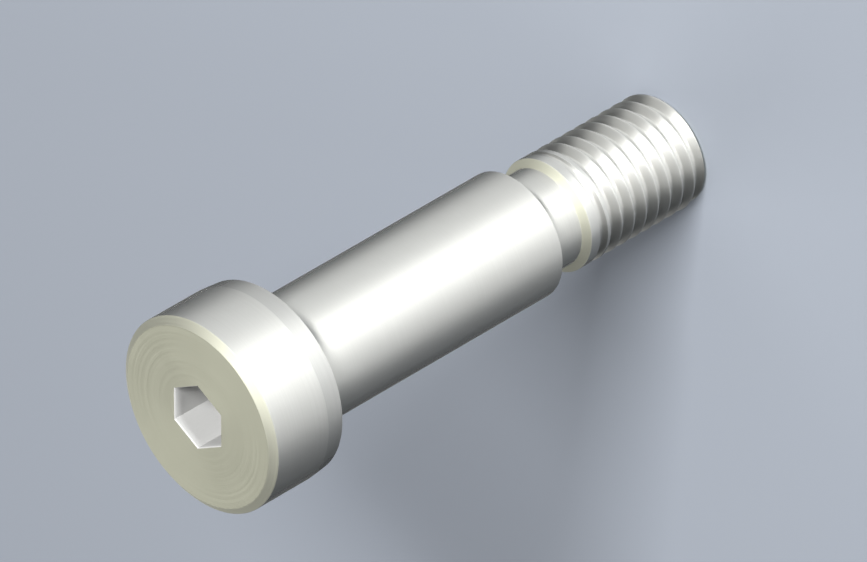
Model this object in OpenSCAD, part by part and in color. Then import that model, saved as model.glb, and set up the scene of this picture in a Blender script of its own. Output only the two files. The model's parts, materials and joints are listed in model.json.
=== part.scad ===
// Shoulder bolt with a low cylindrical head and a hexagon socket.
// One piece, turned and ground from bar. It stands on the flat point of its threaded end,
// with the bolt's axis on Z and the face of the head uppermost.

/* [Head] */
// Diameter of the head
head_d = 10; // [9.4:0.1:16]
// Height of the head, from its seat to its face
head_h = 4.5; // [4:0.1:8]
// Width of the chamfer round the face, along the radius
face_chamfer_w = 0.385; // [0.1:0.005:0.6]
// Height of the chamfer round the face
face_chamfer_h = 0.28; // [0.1:0.01:0.6]
// Height of the tapered band above the seat
band_h = 1; // [0.4:0.1:2]
// How far the tapered band draws in at the seat, along the radius
band_taper = 0.1; // [0.05:0.01:0.3]

/* [Hexagon socket] */
// Width across the flats
socket_af = 3; // [2:0.5:4]
// Depth of the flats
socket_depth = 2.5; // [1.5:0.1:3.5]
// Width of the flat rim round the conical floor
floor_rim = 0.1; // [0.05:0.05:0.4]
// Angle across the conical floor
floor_angle = 120; // [110:1:150]

/* [Shoulder] */
// Diameter of the ground shoulder
shoulder_d = 6.5; // [6.4:0.1:8]
// Length of the shoulder, from the head's seat to its end face
shoulder_l = 16; // [6:1:60]
// Width of the relief groove under the head
relief_w = 1; // [0.8:0.1:2.5]
// Depth of the relief groove, along the radius
relief_depth = 0.25; // [0.1:0.05:0.4]
// Radius of the fillet between the relief groove and the seat
relief_fillet_r = 0.3; // [0.1:0.05:0.4]

/* [Neck] */
// Diameter of the neck between the shoulder and the thread
neck_d = 5; // [3.8:0.1:5.2]
// Length of the neck
neck_l = 2; // [1:0.1:3]
// Radius of the fillet between the neck and the shoulder's end face
neck_fillet_r = 0.4; // [0.1:0.05:0.5]

/* [Thread] */
// Outer diameter of the thread
thread_d = 5.8; // [5.4:0.1:6.2]
// Length of the threaded end, with both of its chamfers
thread_l = 8; // [4:0.5:20]
// Height of the chamfer at each end of the thread
thread_chamfer_h = 0.25; // [0.1:0.05:1]
// Diameter of the flat point
point_d = 5; // [4:0.1:5.2]

/* [Hidden] */
$fn = 96;

head_r = head_d / 2;
shoulder_r = shoulder_d / 2;
neck_r = neck_d / 2;
thread_r = thread_d / 2;
point_r = point_d / 2;
seat_r = head_r - band_taper;
relief_r = shoulder_r - relief_depth;

// Levels along the axis, from the flat point up
neck_z = thread_l;
stop_z = neck_z + neck_l;
seat_z = stop_z + shoulder_l;
face_z = seat_z + head_h;

// How far a cutter runs on past the face it enters
overcut = 1;
steel = [0.74, 0.74, 0.68];

// Each outline lists the points of one stretch of the turned profile, as [radius, height], going up.
function threaded_end_outline() = [
    [point_r, 0],
    [thread_r, thread_chamfer_h],
    [thread_r, neck_z - thread_chamfer_h],
    [neck_r, neck_z],
];

function neck_outline() = [
    [neck_r, stop_z],
];

// The relief groove climbs back to the shoulder at 45 degrees.
function shoulder_outline() = [
    [shoulder_r, stop_z],
    [shoulder_r, seat_z - relief_w],
    [relief_r, seat_z - relief_w + relief_depth],
    [relief_r, seat_z],
];

function head_outline() = [
    [seat_r, seat_z],
    [head_r, seat_z + band_h],
    [head_r, face_z - face_chamfer_h],
    [head_r - face_chamfer_w, face_z],
];

// Fills the corner under a level face, round a vertical wall at x = 0, with a concave radius
module corner_fillet(r) {
    translate([0, -r]) difference() {
        square(r);
        translate([r, 0]) circle(r);
    }
}

module turned_profile() {
    polygon(concat(
        [[0, 0]],
        threaded_end_outline(),
        neck_outline(),
        shoulder_outline(),
        head_outline(),
        [[0, face_z]]
    ));
    translate([neck_r, stop_z]) corner_fillet(neck_fillet_r);
    translate([relief_r, seat_z]) corner_fillet(relief_fillet_r);
}

// A hexagon with its corners towards +Y and -Y, over a conical floor
module socket_cutter() {
    floor_z = face_z - socket_depth;
    cone_r = socket_af / 2 - floor_rim;
    cone_h = cone_r / tan(floor_angle / 2);
    translate([0, 0, floor_z]) rotate(30)
        cylinder(h = socket_depth + overcut, d = socket_af / cos(30), $fn = 6);
    translate([0, 0, floor_z - cone_h])
        cylinder(h = cone_h, r1 = 0, r2 = cone_r);
}

module shoulder_bolt() {
    color(steel) difference() {
        rotate_extrude() turned_profile();
        socket_cutter();
    }
}

shoulder_bolt();
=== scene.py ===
"""Shoulder bolt with a low cylindrical head and a hexagon socket, dressed for its portrait.

The bolt is one piece of steel: turned from bar, socketed, ground on its shoulder and threaded.
It stands on the flat point of its thread, with its axis on Z and the face of the head uppermost.
"""
import json
import math

import bpy
from mathutils import Matrix, Vector


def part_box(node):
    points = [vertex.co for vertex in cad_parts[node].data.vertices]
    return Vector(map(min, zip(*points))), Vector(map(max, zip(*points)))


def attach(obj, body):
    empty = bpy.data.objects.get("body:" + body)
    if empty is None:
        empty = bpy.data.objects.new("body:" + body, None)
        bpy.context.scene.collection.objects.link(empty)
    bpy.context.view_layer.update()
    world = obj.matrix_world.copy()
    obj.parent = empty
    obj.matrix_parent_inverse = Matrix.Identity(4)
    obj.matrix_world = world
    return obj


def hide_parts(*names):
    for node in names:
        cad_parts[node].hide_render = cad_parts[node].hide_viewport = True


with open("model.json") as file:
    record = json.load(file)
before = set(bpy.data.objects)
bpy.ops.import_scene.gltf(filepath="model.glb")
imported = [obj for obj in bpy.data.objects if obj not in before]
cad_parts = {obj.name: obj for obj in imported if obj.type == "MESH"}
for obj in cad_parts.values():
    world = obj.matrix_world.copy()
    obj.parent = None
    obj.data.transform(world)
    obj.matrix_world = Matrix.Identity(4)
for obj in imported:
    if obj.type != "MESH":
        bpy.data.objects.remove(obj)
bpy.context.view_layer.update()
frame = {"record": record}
mounts = {mount["name"]: mount for mount in frame["record"]["mounts"]}
mm = 0.001


# The camera looks down a space diagonal, with the thread going away to the upper right.
# A long lens from far off keeps the three axes as even as they are in an isometric drawing.
IMAGE_WIDTH = 867
pixels_per_mm = 21.63
lens = 800
middle_z = 15.37 * mm
slide_right = 0.10 * mm
slide_up = 0.06 * mm
towards_camera = Vector((1, 1, 1)).normalized()
camera_right = Vector((1, 0, -1)).normalized()
camera_up = towards_camera.cross(camera_right)
aim = Vector((0, 0, middle_z)) + slide_right * camera_right + slide_up * camera_up

camera_data = bpy.data.cameras.new("camera")
camera_data.lens = lens
camera = bpy.data.objects.new("camera", camera_data)
bpy.context.scene.collection.objects.link(camera)
frame_width = IMAGE_WIDTH / pixels_per_mm * mm
camera_distance = frame_width * lens / camera_data.sensor_width
turn = Matrix((camera_right, camera_up, towards_camera)).transposed().to_4x4()
camera.matrix_world = Matrix.Translation(aim + towards_camera * camera_distance) @ turn
camera_data.clip_start = 10 * mm
camera_data.clip_end = 4 * camera_distance
bpy.context.scene.camera = camera


# The floor is one large sheet of pale grey board. It is laid just under the point,
# so that the two flat faces don't share a plane.
FLOOR_REACH = 4.0
floor_drop = 0.01 * mm
BOARD_GREY = (0.306, 0.334, 0.383)
floor_mesh = bpy.data.meshes.new("floor")
floor_corners = [(-1, -1), (1, -1), (1, 1), (-1, 1)]
floor_mesh.from_pydata(
    [(x * FLOOR_REACH, y * FLOOR_REACH, -floor_drop) for x, y in floor_corners],
    [],
    [(0, 1, 2, 3)],
)
floor = bpy.data.objects.new("floor", floor_mesh)
bpy.context.scene.collection.objects.link(floor)


def new_material(name):
    """A material with nodes, and its Principled shader."""
    material = bpy.data.materials.new(name)
    material.use_nodes = True
    return material, material.node_tree.nodes["Principled BSDF"]


board, board_shader = new_material("pale_board")
board_shader.inputs["Base Color"].default_value = (*BOARD_GREY, 1)
board_shader.inputs["Roughness"].default_value = 0.9
floor_mesh.materials.append(board)


# Soft light: a key lamp a little left of the camera, which also lights the socket, three low
# strip lights that widen its highlight and fade it off to both sides, a lamp behind for the face
# of the head, and a dim room all round.
CAMERA_BEARING = 45


def softbox(name, azimuth, elevation, distance, size, power):
    """An area lamp that faces the middle of the bolt. Azimuth 0 is the camera's."""
    lamp = bpy.data.lights.new(name, "AREA")
    lamp.shape = "RECTANGLE"
    lamp.size, lamp.size_y = size
    lamp.energy = power
    bearing = math.radians(CAMERA_BEARING - azimuth)
    rise = math.radians(elevation)
    away = Vector((
        math.cos(bearing) * math.cos(rise),
        math.sin(bearing) * math.cos(rise),
        math.sin(rise),
    ))
    holder = bpy.data.objects.new(name, lamp)
    holder.location = aim + away * distance
    holder.rotation_euler = away.to_track_quat("Z", "Y").to_euler()
    holder.visible_camera = False
    bpy.context.scene.collection.objects.link(holder)


softbox("key", azimuth=-20, elevation=42, distance=0.5, size=(0.24, 0.08), power=4.0)
softbox("front", azimuth=10, elevation=5, distance=0.5, size=(0.3, 0.08), power=1.65)
softbox("left", azimuth=-72, elevation=6, distance=0.5, size=(0.5, 0.09), power=1.35)
softbox("right", azimuth=44, elevation=6, distance=0.5, size=(0.4, 0.09), power=1.2)
softbox("back", azimuth=180, elevation=37, distance=0.6, size=(0.36, 0.36), power=0.91)

room = bpy.data.worlds.new("room")
room.use_nodes = True
room_shade = room.node_tree.nodes["Background"]
room_shade.inputs["Color"].default_value = (0.9, 0.95, 1, 1)
room_shade.inputs["Strength"].default_value = 0.05
bpy.context.scene.world = room
bpy.context.scene.view_settings.view_transform = "Standard"


# The bolt is turned from round bar. Head, relief, shoulder, neck and point are one outline that
# goes round the axis; in the head it runs on down the walls of the forged hexagon socket.
COLUMNS = 240
head_r = round(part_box("shoulder_bolt")[1].y, 5)
shoulder_r = mounts["shoulder"]["dims"]["r_mm"] * mm
crest_r = mounts["thread"]["dims"]["r_mm"] * mm
neck_r = 2.5 * mm
face_z = mounts["hex_socket"]["pos_m"][2]
seat_z = mounts["head_seat"]["pos_m"][2]
stop_z = mounts["shoulder_stop"]["pos_m"][2]
thread_middle_z = mounts["thread"]["pos_m"][2]
crest_length = mounts["thread"]["dims"]["length_mm"] * mm
crest_bottom_z = thread_middle_z - crest_length / 2
crest_top_z = thread_middle_z + crest_length / 2
thread_chamfer_h = crest_bottom_z
neck_z = crest_top_z + thread_chamfer_h
band_z = seat_z + 1.0 * mm
band_taper = 0.1 * mm
face_chamfer_w = 0.385 * mm
face_chamfer_h = 0.28 * mm
relief_w = 1.0 * mm
relief_depth = 0.25 * mm
relief_fillet_r = 0.3 * mm
neck_fillet_r = 0.4 * mm
edge_r = 0.05 * mm
socket_flat_r = 1.5 * mm
socket_depth = 2.5 * mm
socket_break = 0.04 * mm
face_ring_r = 1.5 * socket_flat_r
cone_r = 1.4 * mm
cone_half_angle = math.radians(60)
cone_h = cone_r / math.tan(cone_half_angle)
degrees_per_step = 15


def rounded(corners):
    """The points of an outline whose corners, given as (radius, height, rounding), are arcs."""
    points = [Vector(corners[0][:2])]
    for before, here, after in zip(corners, corners[1:], corners[2:]):
        corner, rounding = Vector(here[:2]), here[2]
        arriving = (corner - Vector(before[:2])).normalized()
        leaving = (Vector(after[:2]) - corner).normalized()
        bend = math.atan2(arriving.cross(leaving), arriving.dot(leaving))
        start = corner - arriving * rounding * math.tan(abs(bend) / 2)
        centre = start + Vector((-arriving.y, arriving.x)) * math.copysign(rounding, bend)
        steps = max(2, math.ceil(math.degrees(abs(bend)) / degrees_per_step)) if rounding else 0
        for step in range(steps + 1):
            arc = Matrix.Rotation(bend * step / max(steps, 1), 2)
            points.append(centre + arc @ (start - centre))
    return points + [Vector(corners[-1][:2])]


def supported(points, support):
    """The same outline with a point set in from both ends of every long stretch."""
    full = [points[0]]
    for start, end in zip(points, points[1:]):
        along = end - start
        if along.length > 3 * support:
            inset = along.normalized() * support
            full += [start + inset, end - inset]
        full.append(end)
    return full


outline = supported(rounded([
    (0, 0, 0),
    (neck_r, 0, edge_r),
    (crest_r, crest_bottom_z, edge_r),
    (crest_r, crest_top_z, edge_r),
    (neck_r, neck_z, edge_r),
    (neck_r, stop_z, neck_fillet_r),
    (shoulder_r, stop_z, edge_r),
    (shoulder_r, seat_z - relief_w, edge_r),
    (shoulder_r - relief_depth, seat_z - relief_w + relief_depth, edge_r),
    (shoulder_r - relief_depth, seat_z, relief_fillet_r),
    (head_r - band_taper, seat_z, edge_r),
    (head_r, band_z, 0),
    (head_r, face_z - face_chamfer_h, edge_r),
    (head_r - face_chamfer_w, face_z, edge_r),
    (face_ring_r, face_z, 0),
]), edge_r)

socket_outline = [
    (socket_flat_r + 2 * socket_break, face_z),
    (socket_flat_r + socket_break, face_z),
    (socket_flat_r, face_z - socket_break),
    (socket_flat_r, face_z - 2 * socket_break),
    (socket_flat_r, face_z - socket_depth),
]
socket_floor = [(cone_r, face_z - socket_depth), (0, face_z - socket_depth - cone_h)]


def hexagon(angle):
    """How far a hexagon's edge lies from its centre at an angle, where 1 is the middle of a flat."""
    from_flat = (angle + math.pi / 6) % (math.pi / 3) - math.pi / 6
    return 1 / math.cos(from_flat)


def circle(angle):
    """The same for a circle."""
    return 1


def lathe(name, rings):
    """A closed mesh through rings of (radius, height, shape), which start and end on the axis."""
    vertices = []
    loops = []
    for radius, height, shape in rings:
        first = len(vertices)
        if radius == 0:
            vertices.append((0, 0, height))
            loops.append([first] * COLUMNS)
            continue
        for column in range(COLUMNS):
            angle = 2 * math.pi * column / COLUMNS
            reach = radius * shape(angle)
            vertices.append((reach * math.cos(angle), reach * math.sin(angle), height))
        loops.append(range(first, first + COLUMNS))
    faces = []
    for lower, upper in zip(loops, loops[1:]):
        for here in range(COLUMNS):
            after = (here + 1) % COLUMNS
            corners = (lower[here], lower[after], upper[after], upper[here])
            faces.append(tuple(dict.fromkeys(corners)))
    mesh = bpy.data.meshes.new(name)
    mesh.from_pydata(vertices, [], faces)
    return mesh


blank_mesh = lathe(
    "blank",
    [(point.x, point.y, circle) for point in outline]
    + [(radius, height, hexagon) for radius, height in socket_outline]
    + [(radius, height, circle) for radius, height in socket_floor],
)


# The finish of each surface. Every one is the same steel; what differs is the tool that made it,
# so each has its own lines, drawn round the axis by a cutter or wheel, or down it by a punch.
# The face, the chamfers and the tapered band differ in colour too, by painted light and shade.
def node_group(name, inputs, outputs):
    """An empty shader group with named sockets, given as {name: (kind, default)}."""
    group = bpy.data.node_groups.new(name, "ShaderNodeTree")
    for label, (kind, default) in inputs.items():
        socket = group.interface.new_socket(label, in_out="INPUT", socket_type=kind)
        if default is not None:
            socket.default_value = default
    for label, kind in outputs.items():
        group.interface.new_socket(label, in_out="OUTPUT", socket_type=kind)
    return group, group.nodes.new("NodeGroupInput"), group.nodes.new("NodeGroupOutput")


def add_node(tree, kind, inputs=None, **settings):
    """A node with its settings and inputs; an input is a number, a vector or another's output."""
    node = tree.nodes.new(kind)
    for setting, value in settings.items():
        setattr(node, setting, value)
    for key, value in (inputs or {}).items():
        if isinstance(value, bpy.types.NodeSocket):
            tree.links.new(value, node.inputs[key])
        else:
            node.inputs[key].default_value = value
    return node


FLOAT, VECTOR = "NodeSocketFloat", "NodeSocketVector"

# Where a point lies on the bolt: its distance from the axis, its height, and its direction.
lathe_place, _, place_out = node_group(
    "lathe_place", {}, {"Radius": FLOAT, "Height": FLOAT, "Direction": VECTOR}
)
position = add_node(lathe_place, "ShaderNodeTexCoord").outputs["Object"]
flattened = add_node(
    lathe_place, "ShaderNodeVectorMath", {0: position, 1: (1, 1, 0)}, operation="MULTIPLY"
).outputs["Vector"]
distance = add_node(lathe_place, "ShaderNodeVectorMath", {0: flattened}, operation="LENGTH")
unit = add_node(lathe_place, "ShaderNodeVectorMath", {0: flattened}, operation="NORMALIZE")
split = add_node(lathe_place, "ShaderNodeSeparateXYZ", {"Vector": position})
lathe_place.links.new(distance.outputs["Value"], place_out.inputs["Radius"])
lathe_place.links.new(split.outputs["Z"], place_out.inputs["Height"])
lathe_place.links.new(unit.outputs["Vector"], place_out.inputs["Direction"])

# The lines that a tool leaves: fine ones inside coarse ones, which fade in and out round the bolt.
tool_lines, lines_in, lines_out = node_group(
    "tool_lines",
    {"Along": (FLOAT, 0.0), "Direction": (VECTOR, None), "Spacing": (FLOAT, 0.0001),
     "Changes": (FLOAT, 2.0)},
    {"Lines": FLOAT},
)
count = add_node(
    tool_lines, "ShaderNodeMath",
    {0: lines_in.outputs["Along"], 1: lines_in.outputs["Spacing"]}, operation="DIVIDE",
).outputs["Value"]
round_about = add_node(
    tool_lines, "ShaderNodeVectorMath",
    {0: lines_in.outputs["Direction"], "Scale": lines_in.outputs["Changes"]}, operation="SCALE",
).outputs["Vector"]
lift = add_node(tool_lines, "ShaderNodeCombineXYZ", {"Z": count}).outputs["Vector"]
stretched = add_node(
    tool_lines, "ShaderNodeVectorMath", {0: round_about, 1: lift}, operation="ADD"
).outputs["Vector"]
grain = add_node(
    tool_lines, "ShaderNodeTexNoise",
    {"Vector": stretched, "Scale": 1.0, "Detail": 3.0, "Roughness": 0.6},
).outputs["Fac"]
tool_lines.links.new(grain, lines_out.inputs["Lines"])

# Where edges stick out, handling rubs them bright. The mask compares the surface with a softened
# copy of it: the two agree on open faces, where it is 0, and part on edges, where it goes to 1.
OPEN_FACE = 0.99
SHARP_EDGE = 0.85
edge_wear, wear_in, wear_out = node_group(
    "edge_wear", {"Reach": (FLOAT, 0.0001)}, {"Wear": FLOAT}
)
softened = add_node(
    edge_wear, "ShaderNodeBevel", {"Radius": wear_in.outputs["Reach"]}, samples=8
).outputs["Normal"]
plain = add_node(edge_wear, "ShaderNodeNewGeometry").outputs["Normal"]
agreement = add_node(
    edge_wear, "ShaderNodeVectorMath", {0: softened, 1: plain}, operation="DOT_PRODUCT"
).outputs["Value"]
turned_away = add_node(
    edge_wear, "ShaderNodeMapRange",
    {"Value": agreement, "From Min": OPEN_FACE, "From Max": SHARP_EDGE,
     "To Min": 0.0, "To Max": 1.0},
).outputs["Result"]
edge_wear.links.new(turned_away, wear_out.inputs["Wear"])

# The thin film of oil and finger marks that lies over the whole bolt, in soft patches.
PATCHES_PER_M = 320.0
FILM_STARTS = 0.35
FILM_IS_FULL = 0.7
oil_film, _, film_out = node_group("oil_film", {}, {"Film": FLOAT})
film_place = add_node(oil_film, "ShaderNodeTexCoord").outputs["Object"]
patches = add_node(
    oil_film, "ShaderNodeTexNoise",
    {"Vector": film_place, "Scale": PATCHES_PER_M, "Detail": 4.0, "Roughness": 0.55,
     "Distortion": 0.6},
).outputs["Fac"]
film = add_node(
    oil_film, "ShaderNodeMapRange",
    {"Value": patches, "From Min": FILM_STARTS, "From Max": FILM_IS_FULL,
     "To Min": 0.0, "To Max": 1.0},
).outputs["Result"]
oil_film.links.new(film, film_out.inputs["Film"])

# What all the finishes share: how dark and how rough the lines are between a faint one and a clear
# one, how much smoother oil makes the steel, how far wear reaches, and how often a line changes.
LINE_SHADE = 0.88
LINE_GLOSS = 0.1
FAINT_LINE = 0.3
CLEAR_LINE = 0.7
FILM_GLOSS = 0.03
WEAR_REACH = 0.08 * mm
LONG_LINES = 0.25
SHORT_LINES = 40.0

# Lines that go round the axis draw a highlight out a quarter of a turn from their own direction.
QUARTER_TURN = 0.25

# A Mix node has its sockets for colours after those for numbers and vectors.
MIX_A, MIX_B, MIX_RESULT = 6, 7, 2


def steel_finish(name, colour, roughness, stretch, edge_shine, lines_along, line_spacing,
                 line_depth, rub, metallic=1, round_axis=True):
    """Bare steel as one tool leaves it, with lines that go round the axis or, from a punch, down it.

    stretch is how far the lines draw a highlight out, edge_shine how much of the gloss is left
    where the surface turns away, and rub how much brighter its worn edges are. Some of the colours
    given to it carry painted light or painted shade."""
    material, shader = new_material(name)
    tree = material.node_tree
    place = add_node(tree, "ShaderNodeGroup", node_tree=lathe_place)
    lines = add_node(tree, "ShaderNodeGroup", {
        "Along": place.outputs[lines_along],
        "Direction": place.outputs["Direction"],
        "Spacing": line_spacing,
        "Changes": LONG_LINES if round_axis else SHORT_LINES,
    }, node_tree=tool_lines).outputs["Lines"]
    wear = add_node(
        tree, "ShaderNodeGroup", {"Reach": WEAR_REACH}, node_tree=edge_wear
    ).outputs["Wear"]
    film = add_node(tree, "ShaderNodeGroup", node_tree=oil_film).outputs["Film"]

    shader.inputs["Metallic"].default_value = metallic
    shader.inputs["Specular Tint"].default_value = (edge_shine, edge_shine, edge_shine, 1)
    shader.inputs["Anisotropic"].default_value = stretch
    shader.inputs["Anisotropic Rotation"].default_value = QUARTER_TURN if round_axis else 0
    tangent = add_node(tree, "ShaderNodeTangent", direction_type="RADIAL", axis="Z")
    tree.links.new(tangent.outputs["Tangent"], shader.inputs["Tangent"])

    dark = [channel * LINE_SHADE for channel in colour]
    bright = [min(1, channel * rub) for channel in colour]
    lined = add_node(
        tree, "ShaderNodeMix", {"Factor": lines, MIX_A: (*dark, 1), MIX_B: (*colour, 1)},
        data_type="RGBA",
    ).outputs[MIX_RESULT]
    worn = add_node(
        tree, "ShaderNodeMix", {"Factor": wear, MIX_A: lined, MIX_B: (*bright, 1)},
        data_type="RGBA",
    ).outputs[MIX_RESULT]
    tree.links.new(worn, shader.inputs["Base Color"])

    by_line = add_node(
        tree, "ShaderNodeMapRange",
        {"Value": lines, "From Min": FAINT_LINE, "From Max": CLEAR_LINE,
         "To Min": roughness * (1 - LINE_GLOSS), "To Max": roughness * (1 + LINE_GLOSS)},
    ).outputs["Result"]
    by_film = add_node(
        tree, "ShaderNodeMath", {0: film, 1: -FILM_GLOSS, 2: by_line}, operation="MULTIPLY_ADD"
    ).outputs["Value"]
    tree.links.new(by_film, shader.inputs["Roughness"])

    bump = add_node(tree, "ShaderNodeBump", {"Height": lines, "Distance": line_depth})
    tree.links.new(bump.outputs["Normal"], shader.inputs["Normal"])
    return material


# The face's colour is the steel's with a painted warm light in it: its yellow tint and level stand
# for light falling on the face.
PAINTED_WARM_LIGHT_FACE = (0.50, 0.50, 0.40)
# The chamfers' colour is the steel's made lighter and cream: a painted warm light.
PAINTED_CREAM_LIGHT_CHAMFER = (0.64, 0.64, 0.54)
PLAIN = (0.62, 0.62, 0.59)
# The tapered band's colour is the plain steel's made darker: a painted shade, where the band tilts
# away from the light.
PAINTED_SHADE_BAND = (0.535, 0.535, 0.512)
MATT = (0.50, 0.50, 0.49)
finishes = {
    "faced": steel_finish(
        "faced_steel_painted_warm_light", PAINTED_WARM_LIGHT_FACE, roughness=0.6, stretch=0.2, edge_shine=1,
        lines_along="Radius", line_spacing=0.05 * mm, line_depth=0.0005 * mm, rub=1.2,
    ),
    "chamfered": steel_finish(
        "chamfered_steel_painted_light", PAINTED_CREAM_LIGHT_CHAMFER, roughness=0.7, stretch=0.3, edge_shine=0.3,
        lines_along="Height", line_spacing=0.05 * mm, line_depth=0.0008 * mm, rub=1.15,
    ),
    "turned": steel_finish(
        "turned_steel", PLAIN, roughness=0.7, stretch=0.8, edge_shine=0,
        lines_along="Height", line_spacing=0.05 * mm, line_depth=0.0006 * mm, rub=1.15,
    ),
    # The same as the turned steel but for its painted shade.
    "tapered": steel_finish(
        "tapered_band_painted_shade", PAINTED_SHADE_BAND, roughness=0.7, stretch=0.8, edge_shine=0,
        lines_along="Height", line_spacing=0.05 * mm, line_depth=0.0006 * mm, rub=1.15,
    ),
    "ground": steel_finish(
        "ground_steel", PLAIN, roughness=0.7, stretch=0.8, edge_shine=0,
        lines_along="Height", line_spacing=0.02 * mm, line_depth=0.0003 * mm, rub=1.15,
    ),
    "rolled": steel_finish(
        "rolled_steel", PLAIN, roughness=0.6, stretch=0.8, edge_shine=0,
        lines_along="Height", line_spacing=0.08 * mm, line_depth=0.0006 * mm, rub=1.1,
    ),
    "forged": steel_finish(
        "forged_steel", MATT, roughness=0.6, stretch=0, edge_shine=0.3,
        lines_along="Height", line_spacing=0.6 * mm, line_depth=0.003 * mm, rub=1.1,
        metallic=0.1, round_axis=False,
    ),
}


# The socket reaches to its corners and begins just under its rim. A facet is level if it looks
# almost straight up or down.
socket_corner_r = 1.2 * socket_flat_r
socket_rim_z = face_z - socket_break / 4
LEVEL = 0.95


def finish_of(facet):
    """The finish that a facet of the blank has, from where it lies and how level it is."""
    radius = Vector(facet.center[:2]).length
    height = facet.center.z
    if radius < socket_corner_r and neck_z < height < socket_rim_z:
        return "forged"
    if abs(facet.normal.z) > LEVEL:
        return "faced"
    if height < crest_bottom_z or crest_top_z < height < neck_z:
        return "chamfered"
    if height > face_z - face_chamfer_h:
        return "chamfered"
    if stop_z < height < seat_z - relief_w:
        return "ground"
    if seat_z < height < band_z:
        return "tapered"
    return "turned"


finish_names = list(finishes)
for material in finishes.values():
    blank_mesh.materials.append(material)
for facet in blank_mesh.polygons:
    facet.material_index = finish_names.index(finish_of(facet))
blank = bpy.data.objects.new("blank", blank_mesh)
bpy.context.scene.collection.objects.link(blank)


# The thread is a groove, rolled into the plain end as a right-hand helix. Its crests are what is
# left of the blank, and its bottom is level with the neck. Over its last turn the groove rises
# out of the steel, so that the chamfer beside the neck stays whole.
PITCH = 0.8 * mm
crest_flat = PITCH / 8
thread_depth = crest_r - neck_r
root_r = 0.1 * mm
crest_break = 0.03 * mm
over = 0.004 * mm
outside = 10 * over

flank_angle = math.radians(30)
flank_slope = math.tan(flank_angle)
mouth = (PITCH - crest_flat) / 2
bottom = mouth - thread_depth * flank_slope
half_groove = [
    (0, 0, 0),
    (0, bottom, root_r),
    (thread_depth - crest_break * math.cos(flank_angle), mouth - crest_break / 2, 0),
    (thread_depth + over * flank_slope, mouth + crest_break + over, 0),
    (thread_depth + outside, mouth + crest_break + over, 0),
]
one_side = rounded(half_groove)[1:]
section = [Vector((point.x, -point.y)) for point in one_side] + one_side[::-1]
groove_mesh = bpy.data.meshes.new("groove")
groove_mesh.from_pydata(
    [(point.x, point.y, 0) for point in section],
    [(place, (place + 1) % len(section)) for place in range(len(section))],
    [],
)
groove = bpy.data.objects.new("groove", groove_mesh)
bpy.context.scene.collection.objects.link(groove)

GEOMETRY, OBJECT, MATERIAL, INTEGER = (
    "NodeSocketGeometry", "NodeSocketObject", "NodeSocketMaterial", "NodeSocketInt"
)
cut_thread = bpy.data.node_groups.new("cut_thread", "GeometryNodeTree")
cut_inputs = {}
for label, kind in {
    "Blank": GEOMETRY, "Groove": OBJECT, "Pitch": FLOAT, "Turns": FLOAT, "Start": FLOAT,
    "Bottom Radius": FLOAT, "Steps": INTEGER, "Run-out": FLOAT, "Run-out Lift": FLOAT,
    "Top": FLOAT, "Crest Bottom": FLOAT, "Crest Top": FLOAT, "Finish": MATERIAL,
}.items():
    cut_inputs[label] = cut_thread.interface.new_socket(label, in_out="INPUT", socket_type=kind)
cut_thread.interface.new_socket("Bolt", in_out="OUTPUT", socket_type=GEOMETRY)
given = cut_thread.nodes.new("NodeGroupInput").outputs
result = cut_thread.nodes.new("NodeGroupOutput")

climb = add_node(
    cut_thread, "ShaderNodeMath", {0: given["Pitch"], 1: given["Turns"]}, operation="MULTIPLY"
).outputs["Value"]
helix = add_node(cut_thread, "GeometryNodeCurveSpiral", {
    "Resolution": given["Steps"], "Rotations": given["Turns"], "Height": climb,
    "Start Radius": given["Bottom Radius"], "End Radius": given["Bottom Radius"],
    "Reverse": True,
}).outputs["Curve"]
place_now = add_node(cut_thread, "GeometryNodeInputPosition").outputs["Position"]
height_now = add_node(cut_thread, "ShaderNodeSeparateXYZ", {"Vector": place_now}).outputs["Z"]
raised = add_node(
    cut_thread, "ShaderNodeMath", {0: height_now, 1: given["Start"]}, operation="ADD"
).outputs["Value"]
lifting = add_node(cut_thread, "ShaderNodeMapRange", {
    "Value": raised, "From Min": given["Run-out"], "From Max": given["Top"],
    "To Min": 0.0, "To Max": given["Run-out Lift"],
}).outputs["Result"]
outward = add_node(
    cut_thread, "ShaderNodeVectorMath", {0: place_now, 1: (1, 1, 0)}, operation="MULTIPLY"
).outputs["Vector"]
outward = add_node(
    cut_thread, "ShaderNodeVectorMath", {0: outward}, operation="NORMALIZE"
).outputs["Vector"]
outward = add_node(
    cut_thread, "ShaderNodeVectorMath", {0: outward, "Scale": lifting}, operation="SCALE"
).outputs["Vector"]
start_up = add_node(cut_thread, "ShaderNodeCombineXYZ", {"Z": given["Start"]}).outputs["Vector"]
shift = add_node(
    cut_thread, "ShaderNodeVectorMath", {0: outward, 1: start_up}, operation="ADD"
).outputs["Vector"]
placed = add_node(
    cut_thread, "GeometryNodeSetPosition", {"Geometry": helix, "Offset": shift}
).outputs["Geometry"]
upright = add_node(
    cut_thread, "GeometryNodeSetCurveNormal", {"Curve": placed}, mode="Z_UP"
).outputs["Curve"]
groove_shape = add_node(cut_thread, "GeometryNodeObjectInfo", {"Object": given["Groove"]})
groove_curve = add_node(
    cut_thread, "GeometryNodeMeshToCurve", {"Mesh": groove_shape.outputs["Geometry"]}
).outputs["Curve"]
cutter = add_node(cut_thread, "GeometryNodeCurveToMesh", {
    "Curve": upright, "Profile Curve": groove_curve, "Fill Caps": True,
}).outputs["Mesh"]
cutter = add_node(
    cut_thread, "GeometryNodeSetMaterial", {"Geometry": cutter, "Material": given["Finish"]}
).outputs["Geometry"]
cut = add_node(
    cut_thread, "GeometryNodeMeshBoolean", {"Mesh 1": given["Blank"]},
    operation="DIFFERENCE", solver="EXACT",
)
cut_thread.links.new(cutter, cut.inputs["Mesh 2"])
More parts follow.
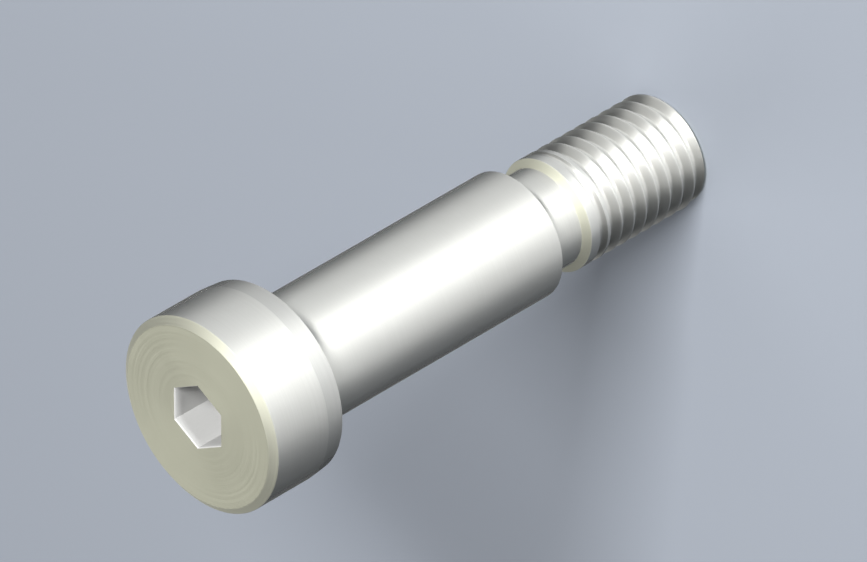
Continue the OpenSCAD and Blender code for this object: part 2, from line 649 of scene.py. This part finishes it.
realized = add_node(
    cut_thread, "GeometryNodeRealizeInstances", {"Geometry": cut.outputs["Mesh"]}
).outputs["Geometry"]
above_point = add_node(
    cut_thread, "FunctionNodeCompare", {"A": height_now, "B": given["Crest Bottom"]},
    data_type="FLOAT", operation="GREATER_THAN",
).outputs["Result"]
below_neck = add_node(
    cut_thread, "FunctionNodeCompare", {"A": height_now, "B": given["Crest Top"]},
    data_type="FLOAT", operation="LESS_THAN",
).outputs["Result"]
threaded = add_node(
    cut_thread, "FunctionNodeBooleanMath", {0: above_point, 1: below_neck}, operation="AND"
).outputs["Boolean"]
finished = add_node(cut_thread, "GeometryNodeSetMaterial", {
    "Geometry": realized, "Selection": threaded, "Material": given["Finish"],
}).outputs["Geometry"]
cut_thread.links.new(finished, result.inputs["Bolt"])

# The helix starts below the point, so that the groove is at its full depth where it enters.
turns_below_point = 4 / 3
turns_below_chamfer = 1.4
run_out_turns = 1
start_z = -turns_below_point * PITCH
run_out_z = crest_top_z - turns_below_chamfer * PITCH
top_z = run_out_z + run_out_turns * PITCH
run_out_lift = thread_depth + 5 * over
cutting = blank.modifiers.new("cut_thread", "NODES")
cutting.node_group = cut_thread
for label, value in {
    "Groove": groove, "Pitch": PITCH, "Turns": (top_z - start_z) / PITCH, "Start": start_z,
    "Bottom Radius": neck_r, "Steps": COLUMNS // 2, "Run-out": run_out_z,
    "Run-out Lift": run_out_lift, "Top": top_z, "Crest Bottom": crest_bottom_z,
    "Crest Top": crest_top_z, "Finish": finishes["rolled"],
}.items():
    cutting[cut_inputs[label].identifier] = value

evaluated = blank.evaluated_get(bpy.context.evaluated_depsgraph_get())
bolt_mesh = bpy.data.meshes.new_from_object(evaluated)
bolt_mesh.name = "turned_bolt"
bolt = bpy.data.objects.new("turned_bolt", bolt_mesh)
bpy.context.scene.collection.objects.link(bolt)
blank.modifiers.remove(cutting)
bpy.data.objects.remove(blank)
bpy.data.objects.remove(groove)

# Steep edges are shaded sharp, and so is the shallow one where the tapered band starts.
steep = math.radians(35)
on_band = edge_r / 10
bolt_mesh.shade_smooth()
bolt_mesh.set_sharp_from_angle(angle=steep)
for edge in bolt_mesh.edges:
    ends = [bolt_mesh.vertices[place].co for place in edge.vertices]
    if all(abs(end.z - band_z) < on_band and end.xy.length > shoulder_r for end in ends):
        edge.use_edge_sharp = True

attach(bolt, "root")
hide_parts("shoulder_bolt")
